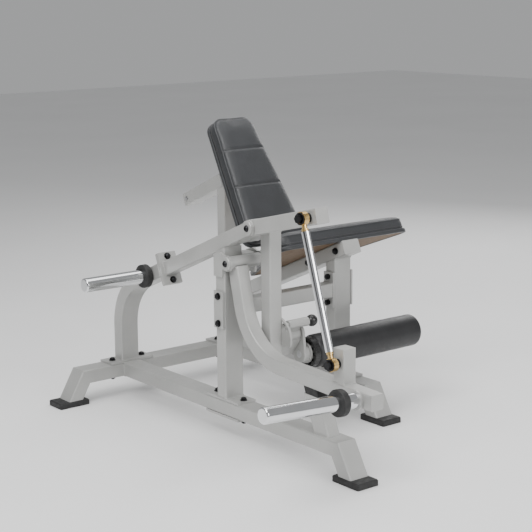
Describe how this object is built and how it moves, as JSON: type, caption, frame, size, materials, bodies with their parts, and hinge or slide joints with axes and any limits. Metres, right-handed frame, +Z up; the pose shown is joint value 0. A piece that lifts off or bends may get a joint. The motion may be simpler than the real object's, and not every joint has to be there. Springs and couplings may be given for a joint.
{
  "type": "leg extension machine",
  "caption": "Plate-loaded seated leg extension machine with reclined sliding backrest, wedge seat pad, foam roller on an adjustable swing lever, linked loading lever and chrome horns.",
  "frame": {"origin": "centre of the footprint, on the floor", "axes": "+Z up, the user on the seat faces -Y, the plate horns point towards -X"},
  "size_m": [1.1739, 1.619, 1.0008],
  "materials": {
    "frame_paint": "satin silver-grey powder coat",
    "lever_paint": "satin silver-grey powder coat",
    "zinc": "bright zinc plate",
    "chrome": "polished",
    "steel": "plain steel",
    "black_oxide": "black oxide",
    "brass": "yellow zinc and bronze",
    "rubber": "matte",
    "vinyl": "grained vinyl",
    "plywood": "bare plywood",
    "foam": "smooth skinned foam",
    "plastic": "moulded"
  },
  "bodies": {
    "frame": {"base_legs": "frame_paint", "foot_pads": "rubber", "rear_crossbeam": "frame_paint", "near_rail": "frame_paint", "far_rail": "frame_paint", "backing_plates": "frame_paint", "near_upright": "frame_paint", "lever_bracket_far": "frame_paint", "curved_post": "frame_paint", "upper_arm": "frame_paint", "swing_fork_far": "frame_paint", "crossmember": "frame_paint", "clamp_plates": "frame_paint", "front_seat_post": "frame_paint", "seat_beam": "frame_paint", "seat_board": "plywood", "seat_pad": "vinyl", "rear_seat_post": "frame_paint", "slide_outer_tube": "frame_paint", "storage_horn": "chrome", "storage_horn_ring": "rubber", "stop_post": "frame_paint", "stop_bumper": "rubber", "lever_shaft": "steel", "swing_shaft": "steel", "frame_bolts": "black_oxide", "frame_nuts": "black_oxide", "seat_screws": "steel", "pivot_washers": "frame_paint", "pivot_bolts": "black_oxide"},
    "backrest": {"slide_inner_tube": "zinc", "backrest_board": "plywood", "backrest_pad": "vinyl", "backrest_screws": "steel"},
    "slide_pull_pin": {"slide_pin": "chrome", "slide_pin_knob": "plastic"},
    "swing_lever": {"swing_arm": "lever_paint", "swing_hub": "lever_paint", "swing_bushes": "brass", "swing_post": "lever_paint", "sector_plate": "lever_paint", "roller_arm_shaft": "steel", "link_bolt_upper": "black_oxide"},
    "loading_lever": {"lower_lever": "lever_paint", "lever_hub": "lever_paint", "lever_bushes": "brass", "lever_post": "lever_paint", "loading_horn": "chrome", "loading_horn_ring": "rubber"},
    "link": {"link_rod": "chrome", "link_rod_ends": "brass", "link_bolt_lower": "black_oxide"},
    "roller_carrier": {"roller_arm": "lever_paint", "roller_arm_bushes": "brass", "roller_axle": "zinc"},
    "roller_pull_pin": {"roller_pin": "chrome", "roller_pin_knob": "plastic"},
    "roller": {"roller_sleeve": "plastic", "roller_foam": "foam", "roller_end_cap": "plastic"}
  },
  "joints": [
    {"name": "swing_pivot", "type": "hinge", "parent": "frame", "child": "swing_lever", "pos_m": [-0.20159, -0.23451, 0.7275], "axis": [-1, 0, 0], "range_deg": [0, 75]},
    {"name": "loading_lever_pivot", "type": "hinge", "parent": "frame", "child": "loading_lever", "pos_m": [-0.20159, -0.13451, 0.5985], "axis": [-1, 0, 0], "range_deg": [0, 50]},
    {"name": "link_upper_pivot", "type": "hinge", "parent": "swing_lever", "child": "link", "pos_m": [-0.24959, -0.52551, 0.798], "axis": [-1, 0, 0], "range_deg": [-30, 0]},
    {"name": "roller_arm_adjust", "type": "hinge", "parent": "swing_lever", "child": "roller_carrier", "pos_m": [-0.06359, -0.23451, 0.351], "axis": [-1, 0, 0], "range_deg": [-15, 45]},
    {"name": "roller_spin", "type": "hinge", "parent": "roller_carrier", "child": "roller", "pos_m": [0.26841, -0.24451, 0.28], "axis": [1, 0, 0], "continuous": true},
    {"name": "roller_pin_pull", "type": "slide", "parent": "roller_carrier", "child": "roller_pull_pin", "axis": [1, 0, 0], "range_m": [0, 0.012], "stiffness_N_per_m": 400, "springref_m": -0.004},
    {"name": "backrest_slide", "type": "slide", "parent": "frame", "child": "backrest", "axis": [0, -0.9171, 0.3987], "range_m": [-0.05, 0.075]},
    {"name": "slide_pin_pull", "type": "slide", "parent": "frame", "child": "slide_pull_pin", "axis": [1, 0, 0], "range_m": [0, 0.012], "stiffness_N_per_m": 400, "springref_m": -0.004}
  ],
  "couplings": [
    {"joint": "loading_lever_pivot", "follows": "swing_pivot", "ratio": 0.657},
    {"joint": "link_upper_pivot", "follows": "swing_pivot", "ratio": -0.372}
  ]
}
